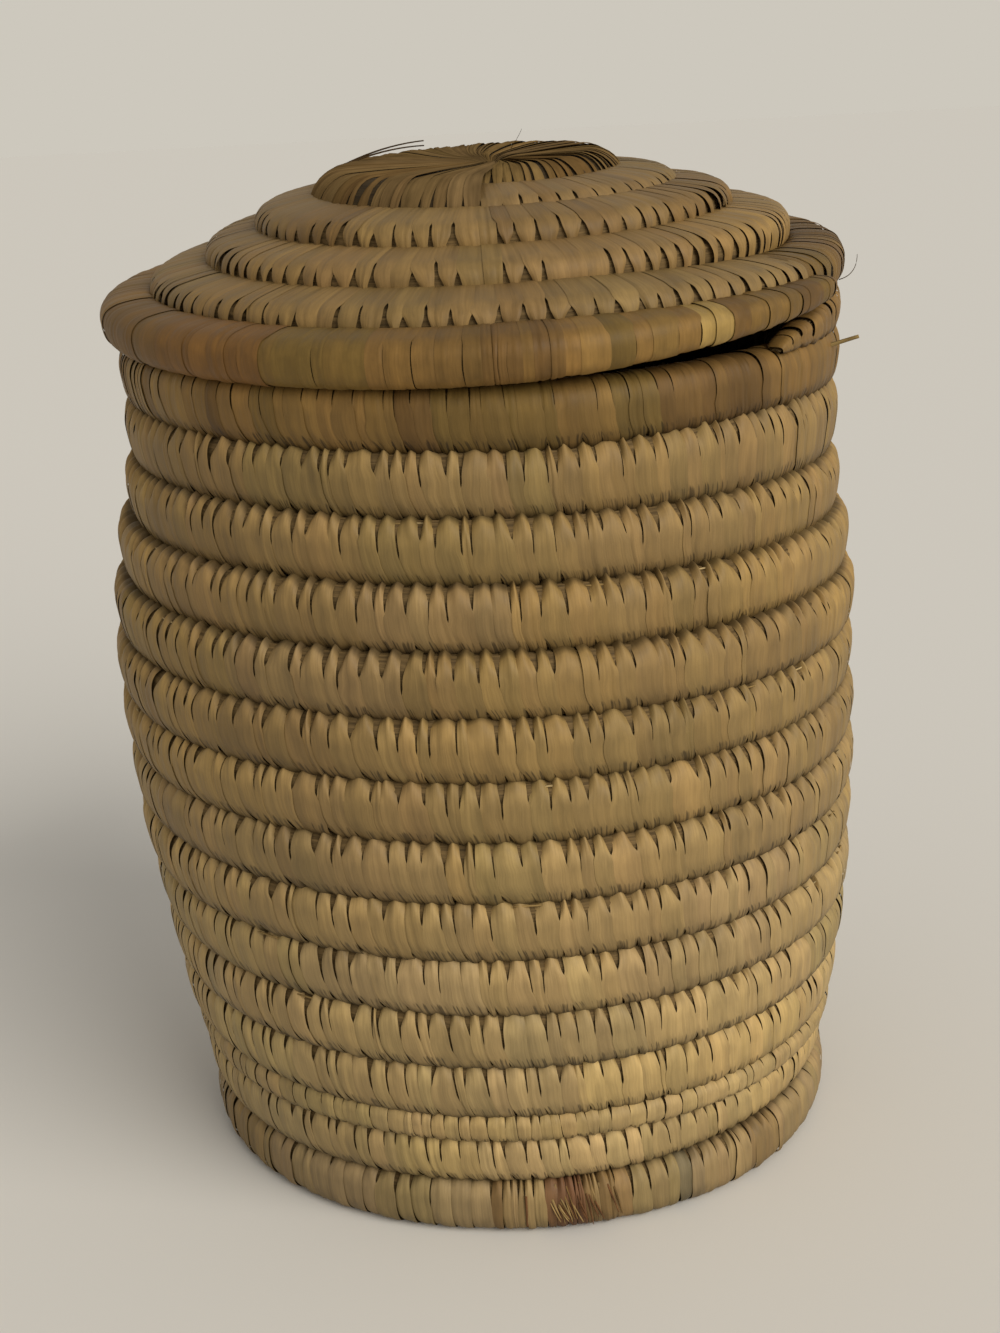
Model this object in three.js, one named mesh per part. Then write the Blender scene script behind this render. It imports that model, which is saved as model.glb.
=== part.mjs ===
// A lidded basket of coiled work: a thick grass bundle, bound all along with palm leaf, is laid in a flat
// spiral for the base, wound upward for the wall, and wound again as a shallow cone for the loose lid.
// Millimetres, +Z up. The origin is on the floor under the middle of the basket, and the front faces -Y.
import * as THREE from "three";

// Clearances
const turnGap = 0.5; // between neighbouring turns of one coil, and between coils laid side by side
const buttGap = 0.4; // where one coil runs end to end into the next
const seatGap = 0.3; // under the lid, where it lies on the rim

// Wall: outside radii, the levels where they change, and the coil that it is wound from
const footRadius = 154;
const bellyRadius = 175.5;
const rimRadius = 164.5;
const bellyLevel = 220; // up to here the wall swells from the foot
const shoulderLevel = 250; // from here it draws in
const collarLevel = 342; // and from here it stands upright at the rim's radius
const courseHeight = 26.8; // rise of one full turn
const coilDepth = 24; // thickness of the coil through the wall
const fullTurns = 12; // turns of full height, the rim turn included
const firstTurnLow = 16; // the first turn starts low on the foot
const firstTurnHigh = 29.5; // and has grown to this height one turn later
const thinTurnLow = 5.4; // the second turn is a thin filler, and starts this high

// Foot and base
const footHeight = 27;
const footDepth = 26;
const baseLift = 3; // the base clears the floor, so that the basket stands on its foot
const baseThickness = 20;
const baseCoilWidth = 24;
const baseCentreRadius = 15;
const baseCentreCrown = 2; // how far the middle of the base swells above its edge

// Free end of the rim coil, at the front right
const rimTaperTurn = 0.21; // share of a turn over which it thins out
const rimTipHeight = 7;
const rimTipDepth = 14;

// Lid
const lidCrownRadius = 60;
const lidCrownThickness = 21;
const lidCrownSwell = 3; // how far the middle of the crown stands above its edge
const lidOverhang = 8.8; // how far the lid's rim stands out past the wall's rim, halfway round
const lidCoilThickness = 21;
const lidSlope = 27; // degrees that the cone falls from the level
const lidJoinDrop = 1.5; // the cone's last turn runs into the lid rim this far below the rim's middle
const lidRimHeight = 25;
const lidRimOffset = 3; // the upright rim coil stands this much further out than the cone's next turn
const lidTaperTurn = 0.16;
const lidTipWidth = 8;
const lidTipHeight = 14;

// How the lid lies on the uneven rim
const lidTiltForward = 2.8; // degrees
const lidTiltLeft = 1.6; // degrees
const lidShiftRight = 6;
const lidShiftBack = 4;

// Winding counts
const stepsPerTurn = 24;
const wallStartTurn = 0.5; // the wall coil starts at the back, half a turn from the front
const wallEndTurn = 0.375; // and ends this share of a turn past the back
const lidTurns = 5;
const lidEndTurn = 0.153; // the lid's rim ends this share of a turn to the right of the front
const lidStartTurn = 0.25; // the lid's coil is thick enough to bind this far along its first turn
const baseStartTurn = 0.25;
const startWedgeTurn = 1 / 12; // share of a turn over which one turn slips over the start of another

const leafTan = new THREE.MeshStandardMaterial({ color: 0x8a7048, roughness: 0.72, metalness: 0 });
const leafGold = new THREE.MeshStandardMaterial({ color: 0x957a4c, roughness: 0.7, metalness: 0 });
const leafBrown = new THREE.MeshStandardMaterial({ color: 0x75593a, roughness: 0.68, metalness: 0 });
const leafGrey = new THREE.MeshStandardMaterial({ color: 0x7d7257, roughness: 0.75, metalness: 0 });

const lerp = THREE.MathUtils.lerp;
const clamp = THREE.MathUtils.clamp;
const radians = THREE.MathUtils.degToRad;

// Place round the axis, counted in turns, clockwise from the front as seen from above
function around(turn) {
  const angle = 2 * Math.PI * turn;
  return new THREE.Vector3(-Math.sin(angle), -Math.cos(angle), 0);
}

// A station is one cross-section of a coil: its middle, its two directions and its two sizes.
// The section is a rectangle with its corners cut, as neighbouring turns press each other flat.
const flatShare = 0.48;
const swellShare = 0.7; // share of a disc's swell that is reached halfway in from its edge

function sectionPoints(station) {
  const { middle, out, up, width, height } = station;
  const x = width / 2;
  const y = height / 2;
  const corners = [
    [x, -y * flatShare],
    [x, y * flatShare],
    [x * flatShare, y],
    [-x * flatShare, y],
    [-x, y * flatShare],
    [-x, -y * flatShare],
    [-x * flatShare, -y],
    [x * flatShare, -y],
  ];
  return corners.map(([a, b]) => middle.clone().addScaledVector(out, a).addScaledVector(up, b));
}

// One unbroken tube through stations that run clockwise, closed by a flat face at each end
function coilGeometry(stations) {
  const rings = stations.map(sectionPoints);
  const sides = rings[0].length;
  const positions = rings.flat().flatMap((point) => point.toArray());
  const indices = [];
  for (let ring = 0; ring + 1 < rings.length; ring += 1) {
    for (let side = 0; side < sides; side += 1) {
      const a = ring * sides + side;
      const b = ring * sides + ((side + 1) % sides);
      indices.push(a, b, b + sides, a, b + sides, a + sides);
    }
  }
  const last = (rings.length - 1) * sides;
  for (let side = 1; side + 1 < sides; side += 1) {
    indices.push(0, side + 1, side);
    indices.push(last, last + side, last + side + 1);
  }
  const geometry = new THREE.BufferGeometry();
  geometry.setAttribute("position", new THREE.Float32BufferAttribute(positions, 3));
  geometry.setIndex(indices);
  geometry.computeVertexNormals();
  return geometry;
}

// Least distance between points of a coil that lie half a turn or more apart along it
function leastGap(stations) {
  const rings = stations.map(sectionPoints);
  let least = Infinity;
  for (let one = 0; one < rings.length; one += 1) {
    for (let other = one + stepsPerTurn / 2; other < rings.length; other += 1) {
      for (const point of rings[one]) {
        for (const facing of rings[other]) {
          least = Math.min(least, point.distanceTo(facing));
        }
      }
    }
  }
  return least;
}

// Turn counts from one place to another in whole steps, with the two ends as given
function turnsBetween(from, to) {
  const turns = [from];
  for (let step = Math.floor(from * stepsPerTurn) + 1; step / stepsPerTurn < to - 1e-6; step += 1) {
    turns.push(step / stepsPerTurn);
  }
  turns.push(to);
  return turns;
}

// The wall's coil. Levels are heights over the foot; a turn lies between its lower and its upper edge.
function turnEdge(turn, share) {
  if (turn <= 0) return 0;
  if (turn === 1) return lerp(firstTurnLow, firstTurnHigh, share);
  return firstTurnLow + thinTurnLow + courseHeight * (turn - 2 + share);
}

// Just before a turn passes over the start of the turn below it, its edges slip to the next level
function slippedEdge(turn, share) {
  if (turn < 0) return 0;
  const slip = clamp((share - 1 + startWedgeTurn) / startWedgeTurn, 0, 1);
  return lerp(turnEdge(turn, share), turnEdge(turn + 1, 0), slip);
}

const wallTurns = 2 + fullTurns + wallEndTurn;
const rimStart = 1 + fullTurns;

function wallOuterRadius(level) {
  const belowBelly = Math.max(0, bellyLevel - level) / (bellyLevel - footHeight);
  const aboveShoulder = THREE.MathUtils.smoothstep(level, shoulderLevel, collarLevel);
  return bellyRadius - (bellyRadius - footRadius) * belowBelly ** 2 - (bellyRadius - rimRadius) * aboveShoulder;
}

function wallStation(turn) {
  const whole = Math.floor(turn);
  const share = turn - whole;
  const lower = slippedEdge(whole, share);
  const upper = slippedEdge(whole + 1, share);
  const taper = clamp((turn - wallTurns + rimTaperTurn) / rimTaperTurn, 0, 1);
  const height = lerp(upper - lower, rimTipHeight, taper) - turnGap;
  const width = lerp(coilDepth, rimTipDepth, taper);
  const level = footHeight + lower + turnGap / 2 + height / 2;
  const out = around(turn + wallStartTurn);
  const middle = out.clone().multiplyScalar(wallOuterRadius(level) - coilDepth / 2);
  middle.z = level;
  return { middle, out, up: new THREE.Vector3(0, 0, 1), width, height };
}

// The lid's coil. Its turns lie side by side on a cone, and the last one stands upright as the lid's rim.
const lidTurnsInAll = lidTurns + lidEndTurn;
const lidRimStart = lidTurnsInAll - 1;
const lidReach = rimRadius + lidOverhang - lidRimOffset - lidCrownRadius;
const lidCoilPitch = lidReach / (lidTurnsInAll - 0.5); // how far the radius grows in one turn
const lidSpread = lidCoilPitch * (lidRimStart - 0.5); // from the crown to the middle of the cone's last turn
const lidRise = lidSpread * Math.tan(radians(lidSlope)) - lidJoinDrop; // middle of the crown over the lid rim's

function coneLevel(radius) {
  return lidRise - (radius - lidCrownRadius) * Math.tan(radians(lidSlope));
}

function coneStation(turn) {
  const inner = lidCrownRadius + lidCoilPitch * Math.max(0, turn - 1);
  const outer = lidCrownRadius + lidCoilPitch * turn;
  const slope = radians(lidSlope);
  const radial = around(-turn);
  const middle = radial.clone().multiplyScalar((inner + outer) / 2);
  middle.z = coneLevel((inner + outer) / 2);
  const out = radial.clone().multiplyScalar(Math.cos(slope));
  out.z = -Math.sin(slope);
  const up = radial.clone().multiplyScalar(Math.sin(slope));
  up.z = Math.cos(slope);
  return { middle, out, up, width: (outer - inner - turnGap) / Math.cos(slope), height: lidCoilThickness };
}

function lidRimStation(turn) {
  const inner = lidCrownRadius + lidCoilPitch * (turn - 1) + lidRimOffset;
  const taper = clamp((turn - lidTurnsInAll + lidTaperTurn) / lidTaperTurn, 0, 1);
  const width = lerp(lidCoilPitch - turnGap, lidTipWidth, taper);
  const height = lerp(lidRimHeight, lidTipHeight, taper);
  const out = around(-turn);
  const middle = out.clone().multiplyScalar(inner + turnGap / 2 + width / 2);
  middle.z = (height - lidRimHeight) / 2;
  return { middle, out, up: new THREE.Vector3(0, 0, 1), width, height };
}

// The base's coil is a flat spiral, squeezed between the centre piece and the foot at its two ends
const footInnerRadius = footRadius - footDepth;
const baseTurns = (footInnerRadius - baseCentreRadius) / baseCoilWidth;
const baseEndTurn = baseTurns + 1 - baseStartTurn;

function baseStation(turn) {
  const inner = baseCentreRadius + baseCoilWidth * Math.max(0, turn - 1);
  const outer = baseCentreRadius + baseCoilWidth * Math.min(turn, baseTurns);
  const out = around(-turn);
  const middle = out.clone().multiplyScalar((inner + outer) / 2);
  middle.z = baseLift + baseThickness / 2;
  const width = outer - inner - turnGap;
  return { middle, out, up: new THREE.Vector3(0, 0, 1), width, height: baseThickness };
}

function footStation(turn) {
  const out = around(turn + wallStartTurn);
  const middle = out.clone().multiplyScalar(footRadius - footDepth / 2);
  middle.z = footHeight / 2 - turnGap / 4;
  return { middle, out, up: new THREE.Vector3(0, 0, 1), width: footDepth, height: footHeight - turnGap / 2 };
}

// A disc with a blunt edge and a swelling top, turned about the Z axis, with its middle level at zero.
// The edge leans outward as it rises, square to a cone of the given slope laid against it.
function centreDisc(radius, thickness, swell, slope) {
  const half = thickness / 2;
  const edge = half * (1 - flatShare);
  const lean = (half - edge) * Math.tan(radians(slope));
  const profile = [
    [0, -half],
    [radius - lean - edge, -half],
    [radius - lean, edge - half],
    [radius + lean, half - edge],
    [radius + lean - edge, half],
    [radius / 2, half + swell * swellShare],
    [0, half + swell],
  ].map(([x, y]) => new THREE.Vector2(x, y));
  return new THREE.LatheGeometry(profile, stepsPerTurn).rotateX(Math.PI / 2);
}

function piece(name, geometry, material) {
  const mesh = new THREE.Mesh(geometry, material);
  mesh.name = name;
  return mesh;
}

// Share of a turn that leaves the butt clearance at a given radius
function buttTurn(radius) {
  return buttGap / (2 * Math.PI * radius);
}

const footStations = turnsBetween(buttTurn(footRadius), 1).map(footStation);
const wallPath = turnsBetween(-startWedgeTurn / 2, wallTurns).map(wallStation);
const wallStations = turnsBetween(-startWedgeTurn / 2, rimStart - buttTurn(rimRadius)).map(wallStation);
const rimStations = turnsBetween(rimStart, wallTurns).map(wallStation);
const coneStations = turnsBetween(lidStartTurn, lidRimStart).map(coneStation);
const lidRimStations = turnsBetween(lidRimStart + buttTurn(lidCrownRadius), lidTurnsInAll).map(lidRimStation);
const baseStations = turnsBetween(baseStartTurn, baseEndTurn).map(baseStation);

console.log(`least gap of the wall coil to itself: ${leastGap(wallPath).toFixed(2)} mm`);
console.log(`least gap of the lid coil to itself: ${leastGap(coneStations.concat(lidRimStations)).toFixed(2)} mm`);
console.log(`least gap of the base coil to itself: ${leastGap(baseStations).toFixed(2)} mm`);

const basket = new THREE.Group();
const baseDisc = centreDisc(baseCentreRadius - turnGap, baseThickness, baseCentreCrown, 0);
const baseCentre = piece("base_centre", baseDisc, leafTan);
baseCentre.position.z = baseLift + baseThickness / 2;
basket.add(baseCentre);
basket.add(piece("base_coil", coilGeometry(baseStations.reverse()), leafTan));
basket.add(piece("foot_coil", coilGeometry(footStations), leafGrey));
basket.add(piece("wall_coil", coilGeometry(wallStations), leafGold));
basket.add(piece("rim_coil", coilGeometry(rimStations), leafTan));

// The lid is set down until its rim's flat underside lies on the highest point of the wall's rim
const lid = new THREE.Group();
lid.rotation.set(radians(lidTiltForward), radians(-lidTiltLeft), 0);
const lidUp = new THREE.Vector3(0, 0, 1).applyEuler(lid.rotation);
const rimTops = rimStations.flatMap((station) => sectionPoints(station).slice(2, 4));
const seatHeights = rimTops.map((point) => {
  const across = lidUp.x * (point.x - lidShiftRight) + lidUp.y * (point.y - lidShiftBack);
  return point.z + (across + lidRimHeight / 2 + seatGap) / lidUp.z;
});
lid.position.set(lidShiftRight, lidShiftBack, Math.max(...seatHeights));

const crownDisc = centreDisc(lidCrownRadius - turnGap, lidCrownThickness, lidCrownSwell, lidSlope);
const lidCrown = piece("lid_crown", crownDisc, leafTan);
lidCrown.position.z = lidRise;
lid.add(lidCrown);
lid.add(piece("lid_coil", coilGeometry(coneStations.reverse()), leafGold));
lid.add(piece("lid_rim_coil", coilGeometry(lidRimStations.reverse()), leafBrown));
basket.add(lid);

export default basket;
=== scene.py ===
"""A lidded basket of coiled work.

Grass bundles are wound round and round, and bound with strips of palm leaf. Every strip is its own surface,
wrapped round its coil. Sizes are in millimetres until a mesh is made, and places along a coil are in turns.
"""

import math
from collections import namedtuple

import bpy
import numpy as np
from mathutils import Matrix, Vector


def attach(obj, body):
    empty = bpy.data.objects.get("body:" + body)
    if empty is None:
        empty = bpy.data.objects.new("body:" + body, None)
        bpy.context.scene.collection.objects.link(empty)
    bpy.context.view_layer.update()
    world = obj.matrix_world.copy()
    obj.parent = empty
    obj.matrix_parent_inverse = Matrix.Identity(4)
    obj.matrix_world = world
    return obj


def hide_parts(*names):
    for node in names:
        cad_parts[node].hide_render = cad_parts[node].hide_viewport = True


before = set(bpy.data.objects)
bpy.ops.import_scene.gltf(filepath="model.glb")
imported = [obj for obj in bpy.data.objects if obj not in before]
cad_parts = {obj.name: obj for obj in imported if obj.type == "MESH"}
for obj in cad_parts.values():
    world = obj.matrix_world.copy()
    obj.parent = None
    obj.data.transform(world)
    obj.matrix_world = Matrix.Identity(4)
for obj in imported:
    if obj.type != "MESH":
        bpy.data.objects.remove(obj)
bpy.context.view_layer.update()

SEED = 20
rng = np.random.default_rng(SEED)

MILLIMETRE = 0.001

# Wall, with the CAD source's sizes
FOOT_RADIUS = 154
BELLY_RADIUS = 175.5
RIM_RADIUS = 164.5
BELLY_LEVEL = 220
SHOULDER_LEVEL = 250
COLLAR_LEVEL = 342
COURSE_HEIGHT = 26.8
COIL_DEPTH = 24
FIRST_TURN_LOW = 16
FIRST_TURN_HIGH = 29.5
THIN_TURN_LOW = 5.4
FOOT_HEIGHT = 27
FOOT_DEPTH = 26
WALL_START = 0.5
START_WEDGE = 1 / 12
RIM_START = 13

# Base, with the CAD source's sizes
BASE_MIDDLE = 13
BASE_THICKNESS = 20
BASE_COIL_WIDTH = 24
BASE_CENTRE_RADIUS = 15
BASE_TURNS = (FOOT_RADIUS - FOOT_DEPTH - BASE_CENTRE_RADIUS) / BASE_COIL_WIDTH
BASE_START = 0.25

# Lid, with the CAD source's sizes
CROWN_RADIUS = 60
CROWN_THICKNESS = 21
LID_OVERHANG = 8.8
LID_COIL_THICKNESS = 21
LID_SLOPE = math.radians(27)
LID_JOIN_DROP = 1.5
LID_RIM_HEIGHT = 25
LID_RIM_OFFSET = 3
LID_TURNS = 5.153
LID_RIM_START = LID_TURNS - 1
LID_TAPER = 0.16
LID_TIP_WIDTH = 8
LID_PITCH = (RIM_RADIUS + LID_OVERHANG - LID_RIM_OFFSET - CROWN_RADIUS) / (LID_TURNS - 0.5)
LID_RISE = LID_PITCH * (LID_RIM_START - 0.5) * math.tan(LID_SLOPE) - LID_JOIN_DROP
LID_TILT_FORWARD = math.radians(2.8)
LID_TILT_LEFT = math.radians(1.6)
LID_PLACE = (6, 4, 408.5)

# How far the lid's bound rows, its rim and its free end stray from the CAD source's plain cone and ring
LID_ROW_SLOPE = math.radians(10)
LID_FIRST_LIFT = 1.5
LID_ROW_LIFT = 7.2
LID_LIFT_TURNS = (1, 1.9)
LID_ROW_SHELF = 8.4
LID_LAST_REACH = 2.5
LID_REACH_TURNS = (2.7, 3.5)
LID_LEVEL_TURNS = (LID_RIM_START - 0.12, LID_RIM_START + 0.1)
LID_RIM_SLOPE = math.radians(8)
LID_RIM_SHELF = 5
LID_RIM_PRESSED = 20.5
LID_RIM_TIP = 9
LID_RIM_END = LID_TURNS + 0.02
LID_RIM_END_LIFT = 4.5
LID_RIM_SAG = 3
LID_RIM_SAG_SPREAD = 0.13
LID_END_ROUNDING = 0.016
LID_END_LEAST = 0.2

# The rim's free end, blunter than the CAD source's, and how far the rim is drawn up below it
RIM_END = 14.365
RIM_TAPER = 0.13
RIM_BLUNTNESS = 0.62
RIM_TIP_HEIGHT = 0.5
RIM_TIP_DEPTH = 7
RIM_DRAWN_UP = 5
RIM_TOP_DRAWN_UP = 3.5
DRAWN_UP_RISE = (0.05, 0.22)
DRAWN_UP_FALL = (0.36, 0.5)

# How far the handmade wall strays from a true round
SWAY = 2.6
SWAY_LEVEL = 240
SWAY_LENGTH = 380
WALL_UNEVENNESS = 0.8
FOOT_BULGE = 5
FOOT_BULGE_TURN = -0.13
FOOT_BULGE_SPREAD = 0.1

# Courses lean outward and overlap the next one, up to where the rim's last turn lies free
COURSE_LEAN = 0.13
COURSE_OVERLAP = 2.4
OVERLAP_END = (RIM_END - 1.06, RIM_END - 1)

# Where a section is drawn inward to a shelf, as shares of its half width and half height
SHELF_INWARD = (0, 0.7)
SHELF_UPWARD = (-0.2, 0.5)

# Waves that make up an unevenness, each with its pace and its size
WANDER_WAVES = ((1.37, 1.0), (3.13, 0.7), (6.71, 0.45))

Section = namedtuple("Section", "centre out up half_width half_height shelf", defaults=(0,))


def lerp(low, high, share):
    return low + (high - low) * share


def smoothstep(low, high, value):
    share = np.clip((value - low) / (high - low), 0, 1)
    return share * share * (3 - 2 * share)


def around(turn):
    """Direction from the axis, in turns clockwise from the front as seen from above."""
    angle = 2 * math.pi * turn
    return np.stack([-np.sin(angle), -np.cos(angle), np.zeros_like(angle)], -1)


def raised(places, level):
    """Places moved up by a level."""
    moved = places.copy()
    moved[..., 2] += level
    return moved


def wander(turn, shift):
    """A slow, smooth unevenness along a coil, between -1 and 1. Each shift gives another one."""
    total = sum(size * np.sin(2 * math.pi * pace * turn + shift * pace) for pace, size in WANDER_WAVES)
    return total / sum(size for _, size in WANDER_WAVES)


# Paths of the coils

def turn_edge(turn, share):
    """Level of a whole turn's lower edge over the foot, at a share of the way along that turn."""
    first = lerp(FIRST_TURN_LOW, FIRST_TURN_HIGH, share)
    later = FIRST_TURN_LOW + THIN_TURN_LOW + COURSE_HEIGHT * (turn - 2 + share)
    return np.where(turn <= 0, 0, np.where(turn == 1, first, later))


def slipped_edge(turn, share):
    """The same level, with the slip at the end of each turn, and drawn up below the rim's free end."""
    slip = np.clip((share - 1 + START_WEDGE) / START_WEDGE, 0, 1)
    edge = lerp(turn_edge(turn, share), turn_edge(turn + 1, 0), slip)
    drawn_up = RIM_DRAWN_UP * (turn == RIM_START) + RIM_TOP_DRAWN_UP * (turn == RIM_START + 1)
    edge = edge + drawn_up * smoothstep(*DRAWN_UP_RISE, share) * (1 - smoothstep(*DRAWN_UP_FALL, share))
    return np.where(turn < 0, 0, edge)


def wall_radius(level):
    below = np.maximum(0, BELLY_LEVEL - level) / (BELLY_LEVEL - FOOT_HEIGHT)
    above = smoothstep(SHOULDER_LEVEL, COLLAR_LEVEL, level)
    return BELLY_RADIUS - (BELLY_RADIUS - FOOT_RADIUS) * below**2 - (BELLY_RADIUS - RIM_RADIUS) * above


def sway(level):
    """How far the wall strays to the right at a level."""
    return -SWAY * np.cos(2 * math.pi * (level - SWAY_LEVEL) / SWAY_LENGTH)


def leaning_up(out):
    """A wall coil's upward direction: each course bulges most near its top."""
    return raised(COURSE_LEAN * out, 1) / math.hypot(1, COURSE_LEAN)


def wall_path(turn):
    whole = np.floor(turn)
    lower = slipped_edge(whole, turn - whole)
    upper = slipped_edge(whole + 1, turn - whole)
    taper = 1 - np.clip((RIM_END - turn) / RIM_TAPER, 0, 1) ** RIM_BLUNTNESS
    height = lerp(upper - lower, RIM_TIP_HEIGHT, taper)
    level = FOOT_HEIGHT + lower + height / 2
    over_top = COURSE_OVERLAP * (1 - smoothstep(*OVERLAP_END, turn))
    out = around(turn + WALL_START)
    half_width = lerp(COIL_DEPTH, RIM_TIP_DEPTH, taper) / 2
    radius = wall_radius(level) - half_width + WALL_UNEVENNESS * wander(turn, shift=2)
    centre = raised(out * radius[..., None], level + (over_top - COURSE_OVERLAP) / 2)
    centre[..., 0] += sway(level)
    half_height = (height + over_top + COURSE_OVERLAP) / 2
    return Section(centre, out, leaning_up(out), half_width, half_height)


def foot_path(turn):
    out = around(turn + WALL_START)
    off = (turn + WALL_START - FOOT_BULGE_TURN + 0.5) % 1 - 0.5
    bulge = FOOT_BULGE * np.exp(-((off / FOOT_BULGE_SPREAD) ** 2))
    radius = FOOT_RADIUS - FOOT_DEPTH / 2 + bulge
    centre = raised(out * radius[..., None], FOOT_HEIGHT / 2)
    centre[..., 0] += sway(FOOT_HEIGHT / 2)
    half_width = np.full_like(turn, FOOT_DEPTH / 2)
    return Section(centre, out, raised(0 * out, 1), half_width, np.full_like(turn, FOOT_HEIGHT / 2))


def base_path(turn):
    inner = BASE_CENTRE_RADIUS + BASE_COIL_WIDTH * np.maximum(0, turn - 1)
    outer = BASE_CENTRE_RADIUS + BASE_COIL_WIDTH * np.minimum(turn, BASE_TURNS)
    out = around(-turn)
    centre = raised(out * ((inner + outer) / 2)[..., None], BASE_MIDDLE)
    half_height = np.full_like(turn, BASE_THICKNESS / 2)
    return Section(centre, out, raised(0 * out, 1), (outer - inner) / 2, half_height)


def lid_radius(turn):
    """The outer radius of the lid's spiral."""
    return CROWN_RADIUS + LID_PITCH * turn


def cone_level(radius):
    return LID_RISE - (radius - CROWN_RADIUS) * math.tan(LID_SLOPE)


def lid_path(turn):
    """The lid's coil lies on a cone as shallow stairs, and its last turn lies level as the lid's rim."""
    outer = lid_radius(turn)
    reach = LID_LAST_REACH * smoothstep(*LID_REACH_TURNS, turn)
    level_share = smoothstep(*LID_LEVEL_TURNS, turn)
    taper = np.clip((turn - LID_RIM_END + LID_TAPER) / LID_TAPER, 0, 1)
    width = lerp(LID_PITCH, LID_TIP_WIDTH, taper)
    height = lerp(LID_RIM_PRESSED, LID_RIM_TIP, taper)
    slope = lerp(LID_ROW_SLOPE, LID_RIM_SLOPE, level_share)
    from_end = np.clip((LID_RIM_END - turn) / LID_END_ROUNDING, 0, 1)
    closing = np.maximum(np.sqrt(from_end * (2 - from_end)), LID_END_LEAST)
    half_width = lerp(LID_PITCH / 2 / math.cos(LID_SLOPE), closing * width / 2, level_share)
    half_height = lerp(LID_COIL_THICKNESS, closing * height, level_share) / 2

    row_radius = outer + reach - half_width * np.cos(slope)
    lift = lerp(LID_FIRST_LIFT, LID_ROW_LIFT, smoothstep(*LID_LIFT_TURNS, turn))
    row_level = cone_level(outer) + half_width * np.sin(slope) + lift
    rim_radius = outer - LID_PITCH + LID_RIM_OFFSET + width / 2
    from_front = (turn + 0.5) % 1 - 0.5
    sag = LID_RIM_SAG * np.exp(-((from_front / LID_RIM_SAG_SPREAD) ** 2))
    rim_level = (height - LID_RIM_HEIGHT) / 2 - sag + LID_RIM_END_LIFT * taper
    radial = around(-turn)
    radius = lerp(row_radius, rim_radius, level_share)
    centre = raised(radial * radius[..., None], lerp(row_level, rim_level, level_share))
    out = raised(radial * np.cos(slope)[..., None], -np.sin(slope))
    up = raised(radial * np.sin(slope)[..., None], np.cos(slope))
    shelf = lerp(LID_ROW_SHELF, closing * LID_RIM_SHELF, level_share)
    return Section(centre, out, up, half_width, half_height, shelf)


def rounded_place(angle, upper, lower):
    """Where an angle lies in the box round a section, whose upper and lower corners are rounded apart."""
    power = 2 / np.where(np.sin(angle) > 0, upper, lower)
    outward = np.sign(np.cos(angle)) * np.abs(np.cos(angle)) ** power
    upward = np.sign(np.sin(angle)) * np.abs(np.sin(angle)) ** power
    return outward, upward


def section_point(section, angle, height, manner, rise=0):
    """A point round a coil's section at an angle from outward to upward, at a height over its surface."""
    outward, upward = rounded_place(angle, manner.upper, manner.lower)
    shelf = section.shelf * smoothstep(*SHELF_INWARD, -outward) * smoothstep(*SHELF_UPWARD, upward)
    outward = (section.half_width + height) * outward - shelf
    upward = (section.half_height + height) * upward + rise
    return section.centre + section.out * outward[..., None] + section.up * upward[..., None]


# Leaf colours

def linear(red, green, blue):
    """A colour written as it looks on a screen, 0 to 255, as the renderer's light values."""
    share = np.array([red, green, blue]) / 255
    return np.where(share <= 0.04045, share / 12.92, ((share + 0.055) / 1.055) ** 2.4)


TAN = linear(142, 117, 74)
GOLD = linear(150, 123, 75)
OLIVE = linear(137, 115, 71)
GREY_TAN = linear(136, 113, 75)
UMBER = linear(120, 93, 53)
BROWN = linear(99, 75, 42)
ORANGE = linear(109, 79, 43)
KHAKI = linear(105, 84, 45)
GREY_GREEN = linear(110, 96, 66)
RUST = linear(106, 72, 43)
STRAW = linear(176, 153, 108)
BUNDLE = linear(104, 84, 52)

# Sets of leaves, each leaf with its chance
WALL_LEAVES = ((TAN, 0.55), (GOLD, 0.2), (OLIVE, 0.12), (GREY_TAN, 0.13))
LID_LEAVES = ((TAN, 0.5), (GOLD, 0.08), (OLIVE, 0.14), (GREY_TAN, 0.18), (UMBER, 0.1))
LIGHT_LEAVES = ((TAN, 0.7), (GOLD, 0.3))
DULL_LEAVES = ((UMBER, 0.82), (TAN, 0.18))
DARK_LEAVES = ((BROWN, 0.4), (KHAKI, 0.25), (UMBER, 0.35))
BROWN_LEAVES = ((BROWN, 0.75), (UMBER, 0.25))
ORANGE_LEAVES = ((ORANGE, 0.8), (BROWN, 0.2))
KHAKI_LEAVES = ((KHAKI, 0.8), (UMBER, 0.2))
GREY_LEAVES = ((GREY_GREEN, 0.5), (GREY_TAN, 0.5))
FRAYED_LEAVES = ((RUST, 0.4), (UMBER, 0.3), (TAN, 0.3))
OLIVE_LEAVES = ((OLIVE, 0.7), (UMBER, 0.3))
MIXED_LEAVES = ((UMBER, 0.3), (TAN, 0.7))
FOOT_LEAVES = ((GREY_TAN, 0.42), (TAN, 0.38), (OLIVE, 0.14), (UMBER, 0.06))

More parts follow.
